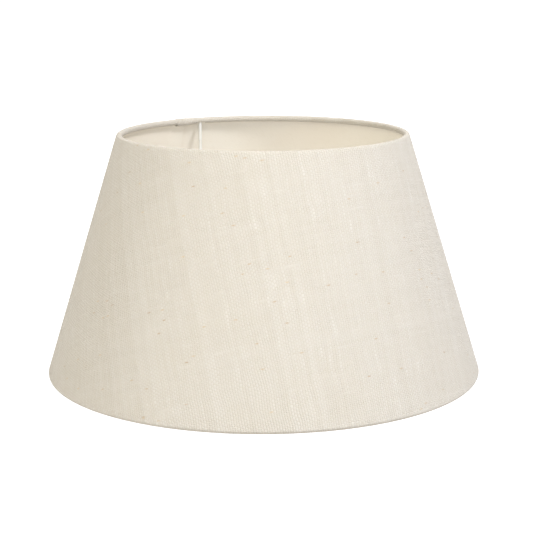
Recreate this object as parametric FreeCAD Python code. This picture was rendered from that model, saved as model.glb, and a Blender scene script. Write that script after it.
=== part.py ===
"""A round tapered lamp shade: linen on a styrene lining, rolled over two wire rings.

Lengths are millimetres and angles degrees. +Z is up and the origin is the middle of the
circle that the shade stands on. An azimuth is measured at the back (+Y) and grows towards
the right (+X), so clockwise when seen from above.
"""

import FreeCAD, Part
import math
import os

from FreeCAD import Vector

# Overall size, over the cloth.
BASE_DIAMETER = 300.0
TOP_DIAMETER = 199.5
HEIGHT = 166.0

# Sheets and tapes.
CLOTH_T = 0.45
LINING_T = 0.3
RING_TAPE_T = 0.2
SEAM_TAPE_T = 0.2
GLUE_GAP = 0.05

# Wires.
RING_WIRE_D = 2.4
ARM_WIRE_D = 2.4

# Lap seam. The under end starts at this azimuth and runs anticlockwise, and the over end,
# having gone all the way round, laps it.
UNDER_EDGE_AZIMUTH = -35.5
LAP_ANGLE = 4.4
CLOTH_OVERHANG_ANGLE = 0.4
RISE_ANGLE = 7.0
RISE_STEPS = 4
SEAM_TAPE_INSET_ANGLE = 0.5
SEAM_TAPE_END_INSET = 4.0

# Rolled hems. The over end's curl is looser, and the under end has none beneath the lap.
HEM_TUCK_CLEARANCE = 0.1
OVER_HEM_SLACK = 0.25
HEM_BUTT_ANGLE = 0.1
NOTCH_RADIUS = 3.0
TAPE_ARM_MARGIN_ANGLE = 2.0
TAPE_TO_ANGLE = 140.0
RING_TAPE_FLATS = 12

# Spider: bent wire arms that carry a washer below the top ring.
ARM_COUNT = 3
FIRST_ARM_AZIMUTH = -28.4
FITTER_DROP = 36.0
FITTER_HOLE_D = 42.0
FITTER_RIM_W = 7.5
FITTER_T = 1.2
FITTER_EDGE_R = 0.3
ARM_BEND_R = 9.0
ARM_LAP = 4.5
WELD_SINK = 0.3

# Worked out from the values above.
RING_R = RING_WIRE_D / 2
ARM_R = ARM_WIRE_D / 2
LINING_IN = RING_R + RING_TAPE_T + GLUE_GAP
LINING_OUT = LINING_IN + LINING_T
CLOTH_IN = LINING_OUT + GLUE_GAP
CLOTH_OUT = CLOTH_IN + CLOTH_T
LAP_STEP = CLOTH_OUT - LINING_IN + SEAM_TAPE_T + 2 * GLUE_GAP
HEM_IN = RING_R + RING_TAPE_T + GLUE_GAP
HEM_R = (CLOTH_OUT + HEM_IN + CLOTH_T) / 2
HEM_SHIFT = (CLOTH_OUT - HEM_IN - CLOTH_T) / 2
TAPER = math.atan2((BASE_DIAMETER - TOP_DIAMETER) / 2, HEIGHT - 2 * HEM_R)
TAPE_FROM_ANGLE = math.degrees(math.asin(min(1, ARM_R / RING_R)) - TAPER)
TAPE_FROM_ANGLE += TAPE_ARM_MARGIN_ANGLE - 90
RING_INSET = HEM_R + HEM_SHIFT * math.cos(TAPER)
TOP_RING_R = TOP_DIAMETER / 2 - RING_INSET
BASE_RING_R = BASE_DIAMETER / 2 - RING_INSET
BASE_RING_Z = HEM_R - HEM_SHIFT * math.sin(TAPER)
TOP_RING_Z = HEIGHT - HEM_R - HEM_SHIFT * math.sin(TAPER)
SLANT = (TOP_RING_Z - BASE_RING_Z) / math.cos(TAPER)
OVER_HEM_GROWTH = (LAP_STEP + OVER_HEM_SLACK) / 2
OVER_HEM_SHIFT = (LAP_STEP - OVER_HEM_SLACK) / 2
OVER_HEM_LIFT = (OVER_HEM_GROWTH - OVER_HEM_SHIFT * math.sin(TAPER)) / math.cos(TAPER)
LAP_START = 360.0
RISE_START = LAP_START - RISE_ANGLE
LINING_OVER_END = LAP_START + LAP_ANGLE
CLOTH_OVER_END = LINING_OVER_END + CLOTH_OVERHANG_ANGLE
UNDER_HEM_START = LAP_ANGLE + CLOTH_OVERHANG_ANGLE + HEM_BUTT_ANGLE
FITTER_R = FITTER_HOLE_D / 2 + FITTER_RIM_W
FITTER_TOP_Z = TOP_RING_Z - FITTER_DROP
ARM_Z = FITTER_TOP_Z + ARM_R - WELD_SINK
ORIGIN = Vector(0, 0, 0)
UP = Vector(0, 0, 1)
DOWN = Vector(0, 0, -1)


def at(azimuth, radius, z):
    """The point at an azimuth, a distance from the axis and a height."""
    turn = math.radians(azimuth)
    return Vector(radius * math.sin(turn), radius * math.cos(turn), z)


def on_wall(angle, depth, run):
    """A point near the wall. The angle is anticlockwise from the under edge, the depth is
    how far outside the line of the ring centres, and the run is up it from the bottom ring."""
    radius = BASE_RING_R + depth * math.cos(TAPER) - run * math.sin(TAPER)
    height = BASE_RING_Z + depth * math.sin(TAPER) + run * math.cos(TAPER)
    return at(UNDER_EDGE_AZIMUTH - angle, radius, height)


def revolved(section, start, end):
    """The face that section(angle) draws, swept from the start angle to the end angle."""
    return section(start).revolve(ORIGIN, UP, end - start)


def lofted(sections):
    """A solid drawn smoothly through faces that have matching edges."""
    return Part.makeLoft([face.OuterWire for face in sections], True, False)


def sheet_section(angle, inner, outer, low, high):
    """The straight stretch of a sheet, between two depths and two runs."""
    corners = [(inner, low), (outer, low), (outer, high), (inner, high), (inner, low)]
    return Part.Face(Part.makePolygon([on_wall(angle, d, r) for d, r in corners]))


def arc_edge(angle, centre, radius, start, end):
    """An arc in the half plane at an angle, between two angles about its centre."""

    def point(turn):
        depth = centre[0] + radius * math.cos(turn)
        return on_wall(angle, depth, centre[1] + radius * math.sin(turn))

    return Part.Arc(point(start), point((start + end) / 2), point(end)).toShape()


def join(first, second):
    """The straight edge from the end of one edge to the start of the next."""
    return Part.LineSegment(first.Vertexes[-1].Point, second.Vertexes[0].Point).toShape()


def cloth_section(angle, share=0.0):
    """The cloth's whole section: its wall and the curl round each ring, which ends just
    short of the lining. The share is 0 on the plain wall and 1 where it laps."""
    inner_r = HEM_R - CLOTH_T + OVER_HEM_GROWTH * share
    outer_r = inner_r + CLOTH_T
    shift = HEM_SHIFT + OVER_HEM_SHIFT * share
    lift = OVER_HEM_LIFT * share
    reach = LINING_IN - HEM_TUCK_CLEARANCE - shift
    sweep = 2 * math.pi - math.acos(reach / outer_r)
    base = (shift, lift)
    top = (shift, SLANT - lift)
    curls = [
        arc_edge(angle, base, inner_r, -sweep, 0),
        arc_edge(angle, top, inner_r, 0, sweep),
        arc_edge(angle, top, outer_r, sweep, 0),
        arc_edge(angle, base, outer_r, 0, -sweep),
    ]
    edges = []
    for curl, following in zip(curls, curls[1:] + curls[:1]):
        edges += [curl, join(curl, following)]
    return Part.Face(Part.Wire(edges))


def lining_section(angle, share=0.0):
    """The lining's section. The share is 0 on the plain wall and 1 where it laps."""
    step = LAP_STEP * share
    lift = OVER_HEM_LIFT * share
    return sheet_section(angle, LINING_IN + step, LINING_OUT + step, lift, SLANT - lift)


def rising(section):
    """The stretch of a sheet that eases outwards until it laps its other end."""
    faces = []
    for i in range(RISE_STEPS + 1):
        along = i / RISE_STEPS
        share = along * along * (3 - 2 * along)
        faces.append(section(RISE_START + RISE_ANGLE * along, share))
    return lofted(faces)


def arm_azimuths():
    """The azimuths of the spider's arms."""
    return [FIRST_ARM_AZIMUTH + 360.0 * i / ARM_COUNT for i in range(ARM_COUNT)]


def hem_notches():
    """What is cut from the top hem so that each arm can leave the ring."""
    foot_z = TOP_RING_Z - 3 * HEM_R
    inner_face = [on_wall(0, LINING_IN, run) for run in (0, SLANT)]
    radii = [math.hypot(point.x, point.y) for point in inner_face]
    height = inner_face[1].z - inner_face[0].z
    room = Part.makeCone(radii[0], radii[1], height, Vector(0, 0, inner_face[0].z), UP)
    notches = []
    for azimuth in arm_azimuths():
        foot = at(azimuth, TOP_RING_R, foot_z)
        notches.append(Part.makeCylinder(NOTCH_RADIUS, 3 * HEM_R, foot, UP).common(room))
    return notches


def fabric_cover():
    """The linen: its wall, the lap at the seam, and the hems curled round both rings."""

    def flat_end(angle):
        return sheet_section(angle, CLOTH_IN, CLOTH_OUT, 0, SLANT)

    def lapping(angle):
        return cloth_section(angle, 1.0)

    cover = revolved(cloth_section, UNDER_HEM_START, RISE_START)
    cover = cover.fuse(revolved(flat_end, 0, UNDER_HEM_START))
    cover = cover.fuse(rising(cloth_section))
    cover = cover.fuse(revolved(lapping, LAP_START, CLOTH_OVER_END))
    return cover.cut(hem_notches())


def styrene_lining():
    """The stiff panel that the cloth is bonded to, with its own lap."""

    def lapping(angle):
        return lining_section(angle, 1.0)

    lining = revolved(lining_section, 0, RISE_START)
    lining = lining.fuse(rising(lining_section))
    return lining.fuse(revolved(lapping, LAP_START, LINING_OVER_END))


def lap_seam_tape():
    """The double-sided tape that holds the over end to the under end."""
    inner = CLOTH_OUT + GLUE_GAP

    def section(angle):
        low = SEAM_TAPE_END_INSET
        return sheet_section(angle, inner, inner + SEAM_TAPE_T, low, SLANT - low)

    return revolved(section, SEAM_TAPE_INSET_ANGLE, LAP_ANGLE - SEAM_TAPE_INSET_ANGLE)


def wire_ring(radius, z):
    """A closed ring of round wire."""
    return Part.makeTorus(radius, RING_R, Vector(0, 0, z), UP)


def ring_tape(run, start, end):
    """The tape rolled lengthways on the outer side of the ring at a run of the wall. In
    section it bends over the wire in short flats, whose middles touch it."""
    step = math.radians(end - start) / RING_TAPE_FLATS
    turns = [math.radians(start) + step * i for i in range(RING_TAPE_FLATS + 1)]
    inner_r = RING_R / math.cos(step / 2)
    band = [(inner_r, turn) for turn in turns]
    band += [(RING_R + RING_TAPE_T, turn) for turn in reversed(turns)]

    def section(angle):
        corners = [on_wall(angle, r * math.cos(turn), run + r * math.sin(turn)) for r, turn in band]
        return Part.Face(Part.makePolygon([*corners, corners[0]]))

    return revolved(section, 0, 360)


def spider_arm(azimuth, ring, washer):
    """A wire that hangs from the top ring, bends inwards and lies on the washer."""
    knee_r = TOP_RING_R - ARM_BEND_R
    knee_z = ARM_Z + ARM_BEND_R
    share = math.sqrt(0.5)
    top = at(azimuth, TOP_RING_R, TOP_RING_Z)
    bend_start = at(azimuth, TOP_RING_R, knee_z)
    bend_middle = at(azimuth, knee_r + ARM_BEND_R * share, knee_z - ARM_BEND_R * share)
    bend_end = at(azimuth, knee_r, ARM_Z)
    tip = at(azimuth, FITTER_R - ARM_LAP, ARM_Z)
    drop = Part.LineSegment(top, bend_start).toShape()
    bend = Part.Arc(bend_start, bend_middle, bend_end).toShape()
    reach = Part.LineSegment(bend_end, tip).toShape()
    outline = Part.Wire([Part.makeCircle(ARM_R, top, DOWN)])
    wire = Part.Wire([drop, bend, reach]).makePipeShell([outline], True, False)
    return wire.cut([ring, washer])


def fitter_ring():
    """The washer in the middle, which rests on the lampholder's shoulder."""
    base = Vector(0, 0, FITTER_TOP_Z - FITTER_T)
    disc = Part.makeCylinder(FITTER_R, FITTER_T, base, UP)
    rims = [edge for edge in disc.Edges if isinstance(edge.Curve, Part.Circle)]
    disc = disc.makeFillet(min(FITTER_EDGE_R, FITTER_T / 3), rims)
    return disc.cut(Part.makeCylinder(FITTER_HOLE_D / 2, FITTER_T, base, UP))


def build():
    """Every piece of the shade by name."""
    top_ring = wire_ring(TOP_RING_R, TOP_RING_Z)
    washer = fitter_ring()
    pieces = {
        "fabric_cover": fabric_cover(),
        "styrene_lining": styrene_lining(),
        "lap_seam_tape": lap_seam_tape(),
        "top_ring": top_ring,
        "bottom_ring": wire_ring(BASE_RING_R, BASE_RING_Z),
        "top_ring_tape": ring_tape(SLANT, TAPE_FROM_ANGLE, TAPE_TO_ANGLE),
        "bottom_ring_tape": ring_tape(0, -TAPE_TO_ANGLE, -TAPE_FROM_ANGLE),
        "fitter_ring": washer,
    }
    for number, azimuth in enumerate(arm_azimuths(), start=1):
        pieces[f"spider_arm_{number}"] = spider_arm(azimuth, top_ring, washer)
    return pieces


def main():
    os.makedirs("parts", exist_ok=True)
    for name, shape in build().items():
        shape.exportStep(f"parts/{name}.step")
        box = shape.BoundBox
        print(
            f"{name}: {len(shape.Solids)} solid(s), valid {shape.isValid()}, "
            f"volume {shape.Volume:.1f}, z {box.ZMin:.2f} to {box.ZMax:.2f}"
        )


main()
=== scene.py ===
"""A round tapered lamp shade of natural linen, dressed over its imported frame."""
import math

import bpy
import numpy as np
from mathutils import Matrix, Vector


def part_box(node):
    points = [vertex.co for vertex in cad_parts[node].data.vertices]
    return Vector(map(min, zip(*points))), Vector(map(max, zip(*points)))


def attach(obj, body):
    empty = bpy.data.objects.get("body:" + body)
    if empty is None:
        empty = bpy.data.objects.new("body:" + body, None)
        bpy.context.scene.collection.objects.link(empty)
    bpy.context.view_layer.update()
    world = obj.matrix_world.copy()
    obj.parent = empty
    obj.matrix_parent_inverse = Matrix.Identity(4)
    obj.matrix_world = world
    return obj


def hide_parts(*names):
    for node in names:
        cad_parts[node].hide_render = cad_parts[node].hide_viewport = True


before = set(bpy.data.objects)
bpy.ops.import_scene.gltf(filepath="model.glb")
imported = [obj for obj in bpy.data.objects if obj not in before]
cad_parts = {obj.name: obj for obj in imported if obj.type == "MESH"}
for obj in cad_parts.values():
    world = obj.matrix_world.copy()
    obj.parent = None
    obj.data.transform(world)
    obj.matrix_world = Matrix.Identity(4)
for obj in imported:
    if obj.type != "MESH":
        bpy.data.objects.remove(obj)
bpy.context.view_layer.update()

BODY = "root"
MM = 0.001


# ---------------------------------------------------------------- sizes from the frame

def ring_line(node):
    """Radius and height of a wire ring's centre line, and the wire's own radius."""
    low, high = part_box(node)
    wire = (high[2] - low[2]) / 2
    return high[0] - wire, (high[2] + low[2]) / 2, wire


def azimuth_of(x, y):
    """Angle from the back, clockwise seen from above."""
    return math.atan2(x, y)


def arm_azimuth(node):
    """The azimuth of a spider arm, which points straight at the axis."""
    low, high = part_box(node)
    return azimuth_of(low[0] + high[0], low[1] + high[1])


def lap_centre():
    """The azimuth of the middle of the lap, from the far and near corners of its tape."""
    low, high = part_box("lap_seam_tape")
    return (azimuth_of(low[0], high[1]) + azimuth_of(high[0], low[1])) / 2


TOP_R, TOP_Z, WIRE_R = ring_line("top_ring")
BASE_R, BASE_Z, _ = ring_line("bottom_ring")
TAPER = math.atan2(BASE_R - TOP_R, TOP_Z - BASE_Z)
SLANT = math.hypot(BASE_R - TOP_R, TOP_Z - BASE_Z)
ARMS = ("spider_arm_1", "spider_arm_2", "spider_arm_3")
ARM_AZIMUTHS = [arm_azimuth(node) for node in ARMS]

# Layers of the wall, counted outwards from the line of the ring centres.
TAPE_T = 0.2 * MM
GLUE_GAP = 0.05 * MM
LINING_T = 0.3 * MM
CLOTH_T = 0.45 * MM
SEAM_TAPE_T = 0.2 * MM
LINING_IN = WIRE_R + TAPE_T + GLUE_GAP
CLOTH_IN = LINING_IN + LINING_T + GLUE_GAP
CLOTH_OUT = CLOTH_IN + CLOTH_T

# The rolled hem: its curl's inner radius, and how far its centre stands off the wire's.
HEM_TUCK = 0.1 * MM
HEM_R = (CLOTH_IN + LINING_IN) / 2
HEM_SHIFT = (CLOTH_IN - LINING_IN) / 2

# The lap: the over end steps out over the under end, and its curl is looser.
LAP_ANGLE = math.radians(4.4)
OVERHANG_ANGLE = math.radians(0.4)
FOLD_ANGLE = math.radians(0.35)
RISE_ANGLE = math.radians(7.0)
LAP_STEP = CLOTH_OUT - LINING_IN + SEAM_TAPE_T + 2 * GLUE_GAP
OVER_SLACK = 0.25 * MM
OVER_GROWTH = (LAP_STEP + OVER_SLACK) / 2
OVER_SHIFT = (LAP_STEP - OVER_SLACK) / 2
OVER_LIFT = (OVER_GROWTH - OVER_SHIFT * math.sin(TAPER)) / math.cos(TAPER)
UNDER_EDGE = lap_centre() + LAP_ANGLE / 2
TURN = 2 * math.pi
CLOTH_END = TURN + LAP_ANGLE + OVERHANG_ANGLE
LINING_END = TURN + LAP_ANGLE
UNDER_HEM_START = LAP_ANGLE + OVERHANG_ANGLE + math.radians(0.1)

# The snips that let the arms out of the top hem, and where round the cloth they are.
ARM_LINES = [(UNDER_EDGE - azimuth) % TURN for azimuth in ARM_AZIMUTHS]
SNIP_SWEEP = math.radians(196.0)
SNIP_HALF = math.radians(1.9)
SNIP_EASE = math.radians(1.1)
TRIM_SWEEP = math.radians(2.0)

# What hand work leaves: slow waves in the wall and small puckers in the curls.
WAVE_DEPTH = 0.16 * MM
PUCKER_DEPTH = 0.05 * MM
PUCKER_DIP = 0.02 * MM

# The cut: the flat shape is a sector about the cone's apex, with its grain straight down
# the middle, opposite the lap.
APEX_RUN = BASE_R / math.sin(TAPER)
GRAIN_ANGLE = math.pi + LAP_ANGLE / 2


# ---------------------------------------------------------------- shapes

def smooth(x, low, high):
    """The cubic ease 3t^2 - 2t^3 of x from low to high, held level outside."""
    t = np.clip((x - low) / (high - low), 0.0, 1.0)
    return t * t * (3.0 - 2.0 * t)


def ripple(angle, slow, fast, count, seed):
    """A sum of sines that closes on itself round the shade: count whole-number frequencies
    from slow to fast with random phases, scaled to lie mostly between -1 and 1."""
    rng = np.random.default_rng(seed)
    turns = rng.integers(slow, fast + 1, count)
    phases = rng.uniform(0.0, TURN, count)
    waves = np.sin(np.asarray(angle)[..., None] * turns + phases)
    return waves.sum(-1) / math.sqrt(count)


def wall_wave(angle, run):
    """How far hand rolling leaves the wall out of true: two slow ripples, one blended into
    the other from the base to the top, fading to nothing at the rings."""
    up = np.clip(run / SLANT, 0.0, 1.0)
    slow = ripple(angle, 2, 9, 6, 11) * (1 - up) + ripple(angle, 2, 9, 6, 12) * up
    return WAVE_DEPTH * slow * np.sin(math.pi * up)


def on_shade(angle, depth, run):
    """Points of the shade, from the angle anticlockwise from the under edge, how far
    outside the line of the ring centres, and the run up that line from the bottom ring."""
    radius = BASE_R + depth * math.cos(TAPER) - run * math.sin(TAPER)
    height = BASE_Z + depth * math.sin(TAPER) + run * math.cos(TAPER)
    azimuth = UNDER_EDGE - angle
    return np.stack([radius * np.sin(azimuth), radius * np.cos(azimuth), height], -1)


def lap_share(angle):
    """How far the sheet has eased outwards over its other end: 0 on the plain wall, 1 in
    the lap, with a cubic ease between."""
    return smooth(angle, TURN - RISE_ANGLE, TURN)


def finer(values, spots, half, step):
    """The values with more of them, a step apart, within half of each spot."""
    extra = [np.arange(spot - half, spot + half, step) for spot in spots]
    merged = np.unique(np.round(np.concatenate([values, *extra]), 7))
    return merged[(merged >= values[0]) & (merged <= values[-1])]


def new_piece(name, points, faces, cut=None, crease=math.radians(50)):
    """An object from points and faces, shaded smooth but for sharp creases. The cut is each
    point's place on the flat cloth in metres, kept as a UV map."""
    mesh = bpy.data.meshes.new(name)
    mesh.from_pydata(points.tolist(), [], faces.tolist())
    mesh.polygons.foreach_set("use_smooth", np.ones(len(mesh.polygons), dtype=bool))
    mesh.set_sharp_from_angle(angle=crease)
    if cut is not None:
        layer = mesh.uv_layers.new(name="cut")
        corner = np.empty(len(mesh.loops), dtype=np.int32)
        mesh.loops.foreach_get("vertex_index", corner)
        layer.data.foreach_set("uv", cut[corner].astype(np.float32).ravel())
    mesh.update()
    piece = bpy.data.objects.new(name, mesh)
    bpy.context.scene.collection.objects.link(piece)
    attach(piece, BODY)
    return piece


def grid_quads(index):
    """Quads between the neighbours of a grid of point numbers, facing the way that turns
    from the rows' direction to the columns'."""
    corners = (index[:-1, :-1], index[1:, :-1], index[1:, 1:], index[:-1, 1:])
    return np.stack(corners, -1).reshape(-1, 4)


def closed_sheet(outer, inner):
    """Points and faces of a sheet with thickness: an outer and an inner grid of points,
    rows anticlockwise and columns upwards, joined by a strip round their four edges."""
    rows, columns = outer.shape[:2]
    out = np.arange(rows * columns).reshape(rows, columns)
    back = out + rows * columns
    strips = [
        np.stack([back[:, 0], out[:, 0]], 1),
        np.stack([out[:, -1], back[:, -1]], 1),
        np.stack([out[0], back[0]], 1),
        np.stack([back[-1], out[-1]], 1),
    ]
    faces = [grid_quads(out), grid_quads(back)[:, ::-1]]
    faces += [grid_quads(strip) for strip in strips]
    points = np.concatenate([outer.reshape(-1, 3), inner.reshape(-1, 3)])
    return points, np.concatenate(faces)


def on_cut(angle, rise):
    """Where a point lies on the flat cloth, from its angle and how far up the cloth it is
    from the bottom ring: polar about the apex, the angle shrunk by the sine of the taper."""
    reach = APEX_RUN - rise
    swing = (angle - GRAIN_ANGLE) * math.sin(TAPER)
    return np.stack([reach * np.sin(swing), APEX_RUN - reach * np.cos(swing)], -1)


# ---------------------------------------------------------------- the linen

def hem_sweep(angle, top):
    """How far round the wire the hem curls: until it all but meets the lining, except where
    the under end is trimmed beneath the lap and where the top is snipped for an arm."""
    share = lap_share(angle)
    reach = LINING_IN - HEM_TUCK - HEM_SHIFT - OVER_SHIFT * share
    full = TURN - np.arccos(reach / (HEM_R + CLOTH_T + OVER_GROWTH * share))
    if top:
        for azimuth in ARM_AZIMUTHS:
            away = np.abs((UNDER_EDGE - angle - azimuth + math.pi) % TURN - math.pi)
            snip = 1 - smooth(away, SNIP_HALF, SNIP_HALF + SNIP_EASE)
            full = full + (SNIP_SWEEP - full) * snip
    return np.where(angle < UNDER_HEM_START, TRIM_SWEEP, full)


def linen_grids():
    """The linen's outer and inner points and its place on the cut. In section it is an arc
    round the bottom wire, a straight wall and an arc round the top wire, all at one distance
    from a centre that stands still on the arcs and slides up between them."""
    angle = finer(np.linspace(0.0, CLOTH_END, 561), ARM_LINES, math.radians(2.6), 0.0036)
    angle = finer(angle, [UNDER_HEM_START, CLOTH_END], math.radians(0.5), 0.0009)
    angle = angle[:, None]
    share = lap_share(angle)
    low = np.linspace(1.0, 0.0, 19)[None, :-1]
    wall = np.linspace(0.0, 1.0, 19)[None, :]
    high = np.linspace(0.0, 1.0, 23)[None, 1:]
    lift = OVER_LIFT * share
    turn = np.concatenate(
        [-low * hem_sweep(angle, False), 0 * angle * wall, high * hem_sweep(angle, True)], 1
    )
    centre = np.concatenate(
        [lift + 0 * low, lift + (SLANT - 2 * lift) * wall, SLANT - lift + 0 * high], 1
    )
    shift = HEM_SHIFT + OVER_SHIFT * share
    pucker = 1 - np.cos(np.clip(np.abs(turn), 0, math.pi))
    pucker = pucker * (0.5 + 0.5 * ripple(angle, 30, 150, 14, 5)) * PUCKER_DEPTH
    inner_r = HEM_R + OVER_GROWTH * share + np.maximum(pucker, -PUCKER_DIP)
    left = (CLOTH_END - angle) / FOLD_ANGLE
    rounded = np.sqrt(np.clip(1 - (1 - np.clip(left, 0.0, 1.0)) ** 2, 0.0, 1.0))
    outer_r = inner_r + CLOTH_T * (0.15 + 0.85 * rounded)
    wave = wall_wave(angle, centre)
    grids = [
        on_shade(angle, shift + wave + r * np.cos(turn), centre + r * np.sin(turn))
        for r in (outer_r, inner_r)
    ]
    rise = centre + turn * (HEM_R + CLOTH_T / 2)
    cut = on_cut(angle, rise)
    return grids[0], grids[1], cut


def linen_cover():
    """The linen as one closed sheet, hems and lap included."""
    outer, inner, cut = linen_grids()
    points, faces = closed_sheet(outer, inner)
    flat = np.tile(cut.reshape(-1, 2), (2, 1))
    piece = new_piece("linen_cover", points, faces, flat)
    piece.data.materials.append(linen())
    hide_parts("fabric_cover")


def lining_panel():
    """The styrene panel as a closed sheet: two parallel straight-sided walls with the same
    waves and the same lap as the linen."""
    angle = finer(np.linspace(0.0, LINING_END, 361), [TURN - RISE_ANGLE / 2], RISE_ANGLE, 0.01)
    angle = angle[:, None]
    share = lap_share(angle)
    lift = OVER_LIFT * share
    run = lift + (SLANT - 2 * lift) * np.linspace(0.0, 1.0, 19)[None, :]
    inner = LINING_IN + LAP_STEP * share + wall_wave(angle, run)
    points, faces = closed_sheet(
        on_shade(angle, inner + LINING_T, run), on_shade(angle, inner, run)
    )
    cut = np.tile(on_cut(angle, run).reshape(-1, 2), (2, 1))
    piece = new_piece("lining_panel", points, faces, cut)
    piece.data.materials.append(styrene())
    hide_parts("styrene_lining")


# ---------------------------------------------------------------- shader helpers

class Nodes:
    """A short way to add and join the nodes of one tree."""

    def __init__(self, tree):
        self.tree = tree

    def add(self, kind, **settings):
        node = self.tree.nodes.new(kind)
        for name, value in settings.items():
            setattr(node, name, value)
        return node

    def put(self, value, socket):
        """Join an output to the socket, or set the socket to a plain value."""
        if isinstance(value, bpy.types.NodeSocket):
            self.tree.links.new(value, socket)
        else:
            socket.default_value = value

    def math(self, operation, *values, clamp=False):
        node = self.add("ShaderNodeMath", operation=operation, use_clamp=clamp)
        for value, socket in zip(values, node.inputs):
            self.put(value, socket)
        return node.outputs[0]

    def vector(self, operation, *values):
        node = self.add("ShaderNodeVectorMath", operation=operation)
        for value, socket in zip(values, node.inputs):
            self.put(value, socket)
        return node.outputs[0]

    def combine(self, x=0.0, y=0.0, z=0.0):
        node = self.add("ShaderNodeCombineXYZ")
        for value, socket in zip((x, y, z), node.inputs):
            self.put(value, socket)
        return node.outputs[0]

    def separate(self, vector):
        node = self.add("ShaderNodeSeparateXYZ")
        self.put(vector, node.inputs[0])
        return node.outputs

    def noise(self, vector, scale, detail=2.0, roughness=0.5):
        node = self.add("ShaderNodeTexNoise", noise_dimensions="3D")
        self.put(vector, node.inputs["Vector"])
        self.put(scale, node.inputs["Scale"])
        self.put(detail, node.inputs["Detail"])
        self.put(roughness, node.inputs["Roughness"])
        return node.outputs["Fac"]

    def random(self, vector):
        node = self.add("ShaderNodeTexWhiteNoise", noise_dimensions="3D")
        self.put(vector, node.inputs["Vector"])
        return node.outputs["Value"]

    def ramp(self, value, low, high, to_low=0.0, to_high=1.0):
        """The value carried from one range to another by a smooth step, and held there."""
        node = self.add("ShaderNodeMapRange", interpolation_type="SMOOTHSTEP")
        for item, socket in zip((value, low, high, to_low, to_high), node.inputs):
            self.put(item, socket)
        return node.outputs[0]

    def mix(self, share, first, second):
        """Two colours mixed by a share."""
        node = self.add("ShaderNodeMix", data_type="RGBA")
        self.put(share, node.inputs["Factor"])
        self.put(first, node.inputs[6])
        self.put(second, node.inputs[7])
        return node.outputs[2]


def new_group(name, inputs, outputs):
    """A shader node group with named sockets. An input is a name and its value, or the
    name alone for a vector."""
    group = bpy.data.node_groups.new(name, "ShaderNodeTree")
    for socket, value in inputs.items():
        kind = "NodeSocketVector" if value is None else "NodeSocketFloat"
        made = group.interface.new_socket(socket, in_out="INPUT", socket_type=kind)
        if value is not None:
            made.default_value = value
    for socket in outputs:
        group.interface.new_socket(socket, in_out="OUTPUT", socket_type="NodeSocketFloat")
    nodes = Nodes(group)
    return nodes, nodes.add("NodeGroupInput").outputs, nodes.add("NodeGroupOutput").inputs


def place_group(nodes, group, **values):
    """The group in a material's tree, with its inputs set by name."""
    node = nodes.add("ShaderNodeGroup", node_tree=group)
    for name, value in values.items():
        nodes.put(value, node.inputs[name])
    return node.outputs


def new_material(name):
    """A material with a Principled shader and nothing else."""
    material = bpy.data.materials.new(name)
    material.use_nodes = True
    nodes = Nodes(material.node_tree)
    shader = material.node_tree.nodes["Principled BSDF"].inputs
    return material, nodes, shader


def bump(nodes, height, distance, shader):
    """Feed a height, as a share of the distance in metres, to the shader's normal."""
    node = nodes.add("ShaderNodeBump")
    nodes.put(height, node.inputs["Height"])
    nodes.put(distance, node.inputs["Distance"])
    node.inputs["Strength"].default_value = 1.0
    nodes.put(node.outputs[0], shader["Normal"])


# ---------------------------------------------------------------- finishes

WARP_PITCH = 1.53 * MM
WEFT_PITCH = 1.18 * MM


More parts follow.
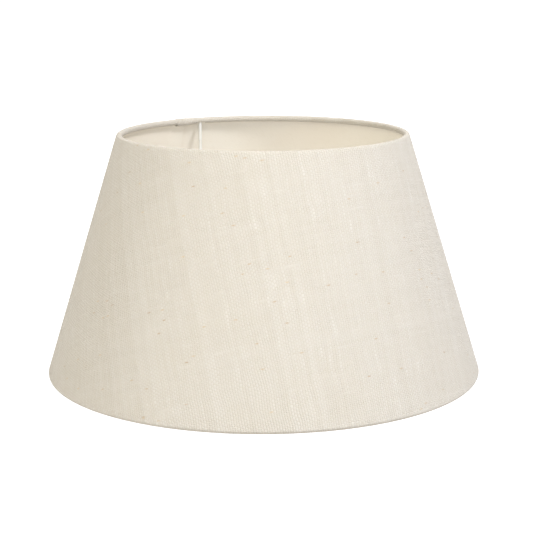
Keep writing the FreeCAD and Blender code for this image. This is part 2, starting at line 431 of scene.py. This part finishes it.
def plain_weave():
    """Over-and-under linen threads on the flat cloth. Height is the surface, Warp says
    which thread is on top, Tone is each thread's own lightness with its slow changes along
    it, Gap is 1 in the holes between threads and Slub is 1 on thick soft places."""
    nodes, given, made = new_group(
        "plain_weave",
        {"Cut": None, "Warp Pitch": WARP_PITCH, "Weft Pitch": WEFT_PITCH},
        ("Height", "Warp", "Tone", "Gap", "Slub"),
    )
    x, y, _ = nodes.separate(given["Cut"])
    drift = nodes.noise(given["Cut"], 45.0, 2.0)
    sway = nodes.noise(nodes.vector("ADD", given["Cut"], (3.1, 7.7, 0.0)), 70.0, 2.0)
    threads = []
    for along, across, pitch, sway_by, seed in (
        (y, x, given["Warp Pitch"], drift, 3.0),
        (x, y, given["Weft Pitch"], sway, 17.0),
    ):
        count = nodes.math("DIVIDE", across, pitch)
        count = nodes.math("MULTIPLY_ADD", nodes.math("SUBTRACT", sway_by, 0.5), 2.2, count)
        index = nodes.math("FLOOR", count)
        place = nodes.math("SUBTRACT", nodes.math("FRACT", count), 0.5)
        threads.append((count, index, place, along, seed))
    result = []
    for (count, index, place, along, seed), (other, *_) in zip(threads, threads[::-1]):
        own = nodes.random(nodes.combine(index, seed, 0.0))
        line = nodes.combine(nodes.math("MULTIPLY", along, 55.0), nodes.math("MULTIPLY", index, 3.7), seed)
        slow = nodes.noise(line, 1.0, 2.0)
        slub = nodes.ramp(slow, 0.62, 0.74)
        fine = nodes.noise(
            nodes.combine(
                nodes.math("MULTIPLY", along, 420.0), nodes.math("MULTIPLY", index, 5.3), seed
            ),
            1.0,
            1.0,
        )
        half = nodes.math("MULTIPLY_ADD", own, 0.10, 0.36)
        half = nodes.math("MULTIPLY_ADD", slub, 0.07, half)
        half = nodes.math("MULTIPLY_ADD", nodes.math("SUBTRACT", fine, 0.5), 0.16, half)
        off = nodes.math("DIVIDE", place, half)
        dome = nodes.math("SUBTRACT", 1.0, nodes.math("MULTIPLY", off, off))
        inside = nodes.math("GREATER_THAN", dome, 0.0)
        dome = nodes.math("SQRT", nodes.math("MAXIMUM", dome, 0.0))
        result.append((dome, inside, own, slow, slub, index, other))
    phase = nodes.math("SUBTRACT", threads[1][0], 0.5)
    phase = nodes.math("ADD", phase, threads[0][1])
    warp_lift = nodes.math("COSINE", nodes.math("MULTIPLY", phase, math.pi))
    phase = nodes.math("SUBTRACT", threads[0][0], 0.5)
    phase = nodes.math("ADD", phase, threads[1][1])
    weft_lift = nodes.math("COSINE", nodes.math("MULTIPLY", phase, math.pi))
    warp = nodes.math("MULTIPLY_ADD", warp_lift, 0.22, nodes.math("MULTIPLY", result[0][0], 0.62))
    weft = nodes.math("MULTIPLY_ADD", weft_lift, -0.22, nodes.math("MULTIPLY", result[1][0], 0.36))
    warp = nodes.math("MULTIPLY", nodes.math("ADD", warp, 0.38), result[0][1])
    weft = nodes.math("MULTIPLY", nodes.math("ADD", weft, 0.4), result[1][1])
    on_top = nodes.math("GREATER_THAN", warp, weft)
    height = nodes.math("MAXIMUM", warp, weft)
    gap = nodes.math("SUBTRACT", 1.0, nodes.math("MAXIMUM", result[0][1], result[1][1]))

    def of_top(first, second):
        difference = nodes.math("SUBTRACT", first, second)
        return nodes.math("MULTIPLY_ADD", difference, on_top, second)

    own = of_top(result[0][2], result[1][2])
    slow = of_top(result[0][3], result[1][3])
    tone = nodes.math("ADD", nodes.math("MULTIPLY", own, 0.25), nodes.math("MULTIPLY", slow, 0.9))
    nodes.put(height, made["Height"])
    nodes.put(on_top, made["Warp"])
    nodes.put(nodes.math("SUBTRACT", tone, 0.575), made["Tone"])
    nodes.put(gap, made["Gap"])
    nodes.put(of_top(result[0][4], result[1][4]), made["Slub"])
    return nodes.tree


def flax_flecks():
    """Scraps of husk caught in the yarn: cells longer along the weft than across it, a few
    of which hold a small soft-edged spot. Fleck is 1 in a spot and Kind is its own chance."""
    nodes, given, made = new_group(
        "flax_flecks", {"Cut": None, "Length": 5.0 * MM, "Rarity": 0.988}, ("Fleck", "Kind")
    )
    x, y, _ = nodes.separate(given["Cut"])
    across = nodes.math("MULTIPLY", given["Length"], 0.36)
    cell = nodes.combine(
        nodes.math("DIVIDE", x, given["Length"]), nodes.math("DIVIDE", y, across), 0.5
    )
    spots = nodes.add("ShaderNodeTexVoronoi", voronoi_dimensions="2D")
    nodes.put(cell, spots.inputs["Vector"])
    nodes.put(1.0, spots.inputs["Scale"])
    chance, kind, _ = nodes.separate(spots.outputs["Color"])
    held = nodes.math("GREATER_THAN", chance, given["Rarity"])
    spot = nodes.ramp(spots.outputs["Distance"], 0.08, 0.40, 1.0, 0.0)
    nodes.put(nodes.math("MULTIPLY", spot, held), made["Fleck"])
    nodes.put(kind, made["Kind"])
    return nodes.tree


GROUPS = {}


def group(maker):
    """The node group that a function builds, built once."""
    if maker not in GROUPS:
        GROUPS[maker] = maker()
    return GROUPS[maker]


def colour(red, green, blue):
    """A colour given as display values from 0 to 255."""
    shares = (value / 255.0 for value in (red, green, blue))
    linear = [s / 12.92 if s <= 0.04045 else ((s + 0.055) / 1.055) ** 2.4 for s in shares]
    return (*linear, 1.0)


def linen():
    """Natural linen: warm off-white threads with painted shade in the gaps between them, and slubs and
    flecks.
    """
    material, nodes, shader = new_material("natural_linen")
    cut = nodes.add("ShaderNodeUVMap", uv_map="cut").outputs[0]
    weave = place_group(nodes, group(plain_weave), Cut=cut)
    flecks = place_group(nodes, group(flax_flecks), Cut=cut)
    base = nodes.mix(weave["Warp"], colour(201, 194, 184), colour(206, 201, 193))
    tone = nodes.math("MULTIPLY_ADD", weave["Tone"], 0.42, 0.82, clamp=True)
    base = nodes.mix(tone, colour(188, 176, 154), base)
    base = nodes.mix(nodes.math("MULTIPLY", weave["Slub"], 0.12), base, colour(230, 226, 219))
    # Painted shade: the holes between threads are darkened towards brown, standing in for the shadow that
    # falls between the threads.
    base = nodes.mix(nodes.math("MULTIPLY", weave["Gap"], 0.6), base, colour(164, 148, 122))
    husk = nodes.mix(flecks["Kind"], colour(164, 128, 84), colour(206, 178, 132))
    base = nodes.mix(nodes.math("MULTIPLY", flecks["Fleck"], 0.5), base, husk)
    # Painted shade: the cloth is darkened within about 2.4 mm of the floor, standing in for the contact
    # shadow under the bottom hem.
    height = nodes.separate(nodes.add("ShaderNodeTexCoord").outputs["Object"])[2]
    base = nodes.mix(nodes.ramp(height, 0.5 * MM, 2.4 * MM, 0.6, 0.0), base, colour(160, 148, 130))
    cloudy = nodes.noise(cut, 22.0, 3.0)
    base = nodes.mix(nodes.ramp(cloudy, 0.35, 0.75, 0.0, 0.08), base, colour(194, 182, 160))
    nodes.put(base, shader["Base Color"])
    nodes.put(nodes.math("MULTIPLY_ADD", weave["Gap"], 0.1, 0.85), shader["Roughness"])
    shader["Specular IOR Level"].default_value = 0.25
    shader["Sheen Weight"].default_value = 0.12
    shader["Sheen Roughness"].default_value = 0.5
    bump(nodes, weave["Height"], 0.4 * MM, shader)
    return material


def styrene():
    """Warm white styrene sheet: a satin skin with a faint drawn grain and soft clouding."""
    material, nodes, shader = new_material("styrene_sheet")
    cut = nodes.add("ShaderNodeUVMap", uv_map="cut").outputs[0]
    x, y, _ = nodes.separate(cut)
    grain = nodes.noise(
        nodes.combine(nodes.math("MULTIPLY", x, 3000.0), nodes.math("MULTIPLY", y, 240.0)), 1.0
    )
    cloud = nodes.noise(cut, 18.0, 3.0)
    base = nodes.mix(nodes.ramp(cloud, 0.3, 0.7), colour(242, 236, 224), colour(238, 230, 217))
    base = nodes.mix(nodes.ramp(grain, 0.45, 0.8, 0.0, 0.25), base, colour(222, 213, 196))
    nodes.put(base, shader["Base Color"])
    nodes.put(nodes.math("MULTIPLY_ADD", grain, 0.12, 0.46), shader["Roughness"])
    bump(nodes, grain, 0.03 * MM, shader)
    return material


def powder_coat():
    """White powder coat on steel: a fine orange peel, a little duller where it is dusty."""
    material, nodes, shader = new_material("white_powder_coat")
    place = nodes.add("ShaderNodeTexCoord").outputs["Object"]
    peel = nodes.noise(place, 2600.0, 2.0)
    dust = nodes.noise(place, 120.0, 3.0)
    base = nodes.mix(nodes.ramp(dust, 0.4, 0.75), colour(229, 228, 224), colour(218, 216, 210))
    nodes.put(base, shader["Base Color"])
    nodes.put(nodes.math("MULTIPLY_ADD", dust, 0.2, 0.28), shader["Roughness"])
    shader["Coat Roughness"].default_value = 0.25
    nodes.put(nodes.math("MULTIPLY", dust, 0.25), shader["Coat Weight"])
    bump(nodes, peel, 0.04 * MM, shader)
    return material


def sticky_tape():
    """Double-sided tape: milky film with a fine cross-hatched tissue in it."""
    material, nodes, shader = new_material("double_sided_tape")
    place = nodes.add("ShaderNodeTexCoord").outputs["Object"]
    tissue = nodes.noise(place, 900.0, 3.0, 0.7)
    base = nodes.mix(nodes.ramp(tissue, 0.35, 0.65), colour(236, 231, 218), colour(248, 246, 240))
    nodes.put(base, shader["Base Color"])
    nodes.put(nodes.math("MULTIPLY_ADD", tissue, 0.2, 0.3), shader["Roughness"])
    bump(nodes, tissue, 0.02 * MM, shader)
    return material


def dress_frame():
    """Give the wires, the washer and the tapes their finishes."""
    coat = powder_coat()
    tape = sticky_tape()
    finishes = {node: coat for node in ("top_ring", "bottom_ring", "fitter_ring", *ARMS)}
    finishes.update({node: tape for node in ("lap_seam_tape", "top_ring_tape", "bottom_ring_tape")})
    for node, finish in finishes.items():
        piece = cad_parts[node]
        for slot in piece.material_slots:
            slot.material = finish


# ---------------------------------------------------------------- studio

FLOOR_R = 14.0
FLOOR_DROP = 0.05 * MM
# The lower glow inside the shade's footprint is a painted shadow.
PAINTED_SHADOW_GLOW = 0.78
GLOW_OUTSIDE = 1.02
DOME_R = 2.5
DOME_Z = 0.1


def studio_floor():
    """A wide pale disc just under the shade. It glows, and less so inside the shade, which is a painted
    shadow of the shade on the floor.
    """
    steps = np.linspace(0.0, TURN, 97)[:-1]
    rim = [FLOOR_R * np.cos(steps), FLOOR_R * np.sin(steps), 0 * steps - FLOOR_DROP]
    mesh = bpy.data.meshes.new("studio_floor")
    mesh.from_pydata(np.stack(rim, 1).tolist(), [], [list(range(len(steps)))])
    floor = bpy.data.objects.new("studio_floor", mesh)
    bpy.context.scene.collection.objects.link(floor)
    material, nodes, shader = new_material("studio_floor")
    shader["Base Color"].default_value = (0.2, 0.2, 0.2, 1.0)
    shader["Roughness"].default_value = 0.9
    shader["Emission Color"].default_value = (1.0, 1.0, 1.0, 1.0)
    place = nodes.add("ShaderNodeTexCoord").outputs["Object"]
    length = nodes.add("ShaderNodeVectorMath", operation="LENGTH")
    nodes.put(place, length.inputs[0])
    outside = nodes.math("GREATER_THAN", length.outputs["Value"], BASE_R)
    # Painted shadow: the glow is lower inside the shade's footprint, standing in for the shade's shadow on
    # the floor.
    glow = nodes.math("MULTIPLY_ADD", outside, GLOW_OUTSIDE - PAINTED_SHADOW_GLOW, PAINTED_SHADOW_GLOW)
    nodes.put(glow, shader["Emission Strength"])
    floor.data.materials.append(material)


def soft_light(name, azimuth, elevation, power, tint=(1.0, 1.0, 1.0), size=1.6):
    """A square soft box on a dome about the shade, turned to its middle. The azimuth is
    counted from the front towards the right, and both angles are in degrees."""
    data = bpy.data.lights.new(name, "AREA")
    data.energy = power
    data.size = size
    data.color = tint
    lamp = bpy.data.objects.new(name, data)
    turn, rise = math.radians(azimuth), math.radians(elevation)
    level = DOME_R * math.cos(rise)
    height = DOME_Z + DOME_R * math.sin(rise)
    lamp.location = (level * math.sin(turn), -level * math.cos(turn), height)
    lamp.rotation_euler = (math.pi / 2 - rise, 0.0, turn)
    bpy.context.scene.collection.objects.link(lamp)


def studio():
    """White surroundings, a small key high on the right and four large soft fills."""
    scene = bpy.context.scene
    scene.view_settings.view_transform = "Standard"
    world = bpy.data.worlds.new("studio")
    world.use_nodes = True
    backdrop = world.node_tree.nodes["Background"].inputs
    backdrop["Color"].default_value = (1.0, 1.0, 1.0, 1.0)
    backdrop["Strength"].default_value = 0.1
    scene.world = world
    soft_light("key", 60, 48, 42.0, (0.97, 0.98, 1.0), 0.4)
    soft_light("front_fill", 0, 15, 15.0, (0.8, 0.88, 1.0))
    soft_light("left_fill", -55, 35, 24.0, (1.0, 0.92, 0.68))
    soft_light("high_fill", 0, 66, 33.0, (0.98, 0.98, 1.0))
    soft_light("back_fill", 180, 40, 28.0)
    studio_floor()


# The viewpoint, found from the shade's perspective.
LENS = 99.52
VIEW_BACK = 1.0005
VIEW_UP = 0.2889
VIEW_PITCH = math.radians(12.232)
VIEW_ROLL = math.radians(0.219)
VIEW_SHIFT = 0.0059


def camera():
    """The camera, in front of the shade and above it, looking down and very slightly rolled."""
    data = bpy.data.cameras.new("view")
    data.lens = LENS
    data.sensor_width = 36.0
    data.shift_x = VIEW_SHIFT
    data.clip_start = 0.02
    data.clip_end = 60.0
    view = bpy.data.objects.new("view", data)
    tilt = Matrix.Rotation(math.pi / 2 - VIEW_PITCH, 4, "X")
    roll = Matrix.Rotation(-VIEW_ROLL, 4, "Z")
    view.matrix_world = Matrix.Translation((0.0, -VIEW_BACK, VIEW_UP)) @ tilt @ roll
    bpy.context.scene.collection.objects.link(view)
    bpy.context.scene.camera = view


camera()
studio()
linen_cover()
lining_panel()
dress_frame()
